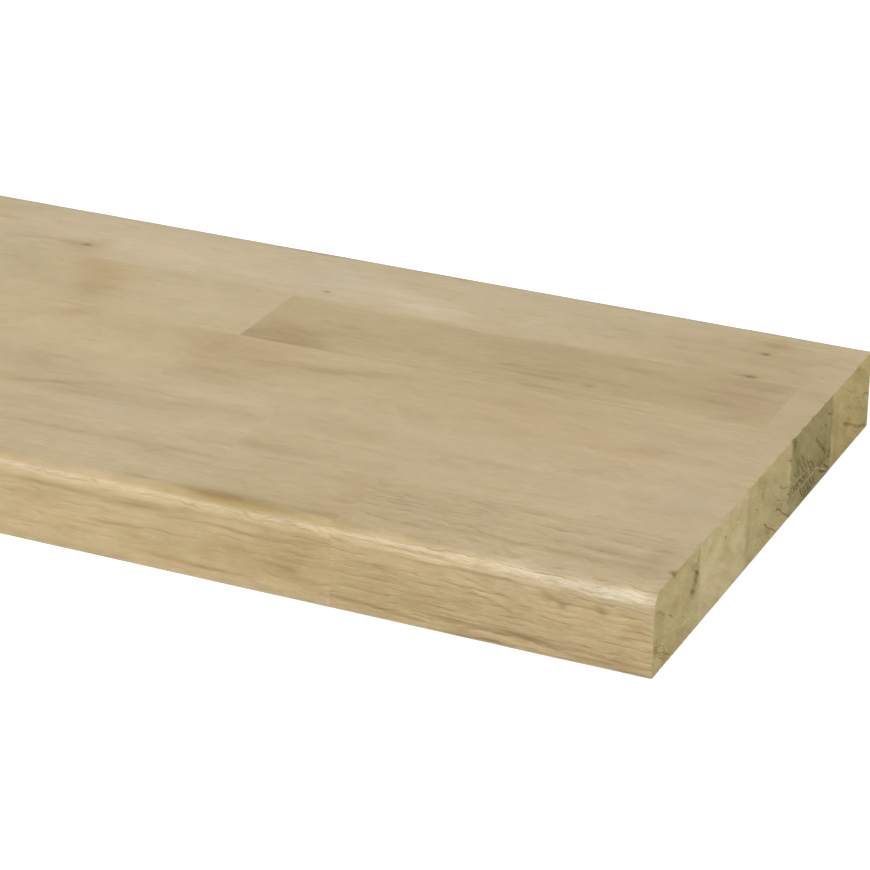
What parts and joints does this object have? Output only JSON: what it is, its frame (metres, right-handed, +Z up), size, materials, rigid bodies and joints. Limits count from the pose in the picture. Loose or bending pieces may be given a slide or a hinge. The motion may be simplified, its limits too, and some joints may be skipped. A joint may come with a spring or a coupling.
{
  "type": "window sill board",
  "caption": "Solid oak window sill board glued up from short staves in rows, with a rounded top front edge and square sawn ends.",
  "frame": {"origin": "on the underside, under the middle of the board", "axes": "+X along the board to the sawn end that the picture shows, -Y to the rounded front edge, +Y to the window, +Z up"},
  "size_m": [1.2, 0.2, 0.027],
  "materials": {
    "oak": "planed and sanded oak, clear matt oil"
  },
  "bodies": {
    "root": {"back_row_stave_1": "oak", "back_row_stave_2": "oak", "back_row_stave_3": "oak", "back_row_stave_4": "oak", "fourth_row_stave_1": "oak", "fourth_row_stave_2": "oak", "fourth_row_stave_3": "oak", "fourth_row_stave_4": "oak", "fourth_row_stave_5": "oak", "fourth_row_stave_6": "oak", "front_row_stave_1": "oak", "front_row_stave_2": "oak", "front_row_stave_3": "oak", "front_row_stave_4": "oak", "front_row_stave_5": "oak", "middle_row_stave_1": "oak", "middle_row_stave_2": "oak", "middle_row_stave_3": "oak", "middle_row_stave_4": "oak", "middle_row_stave_5": "oak", "second_row_stave_1": "oak", "second_row_stave_2": "oak", "second_row_stave_3": "oak", "second_row_stave_4": "oak", "second_row_stave_5": "oak"}
  },
  "joints": []
}
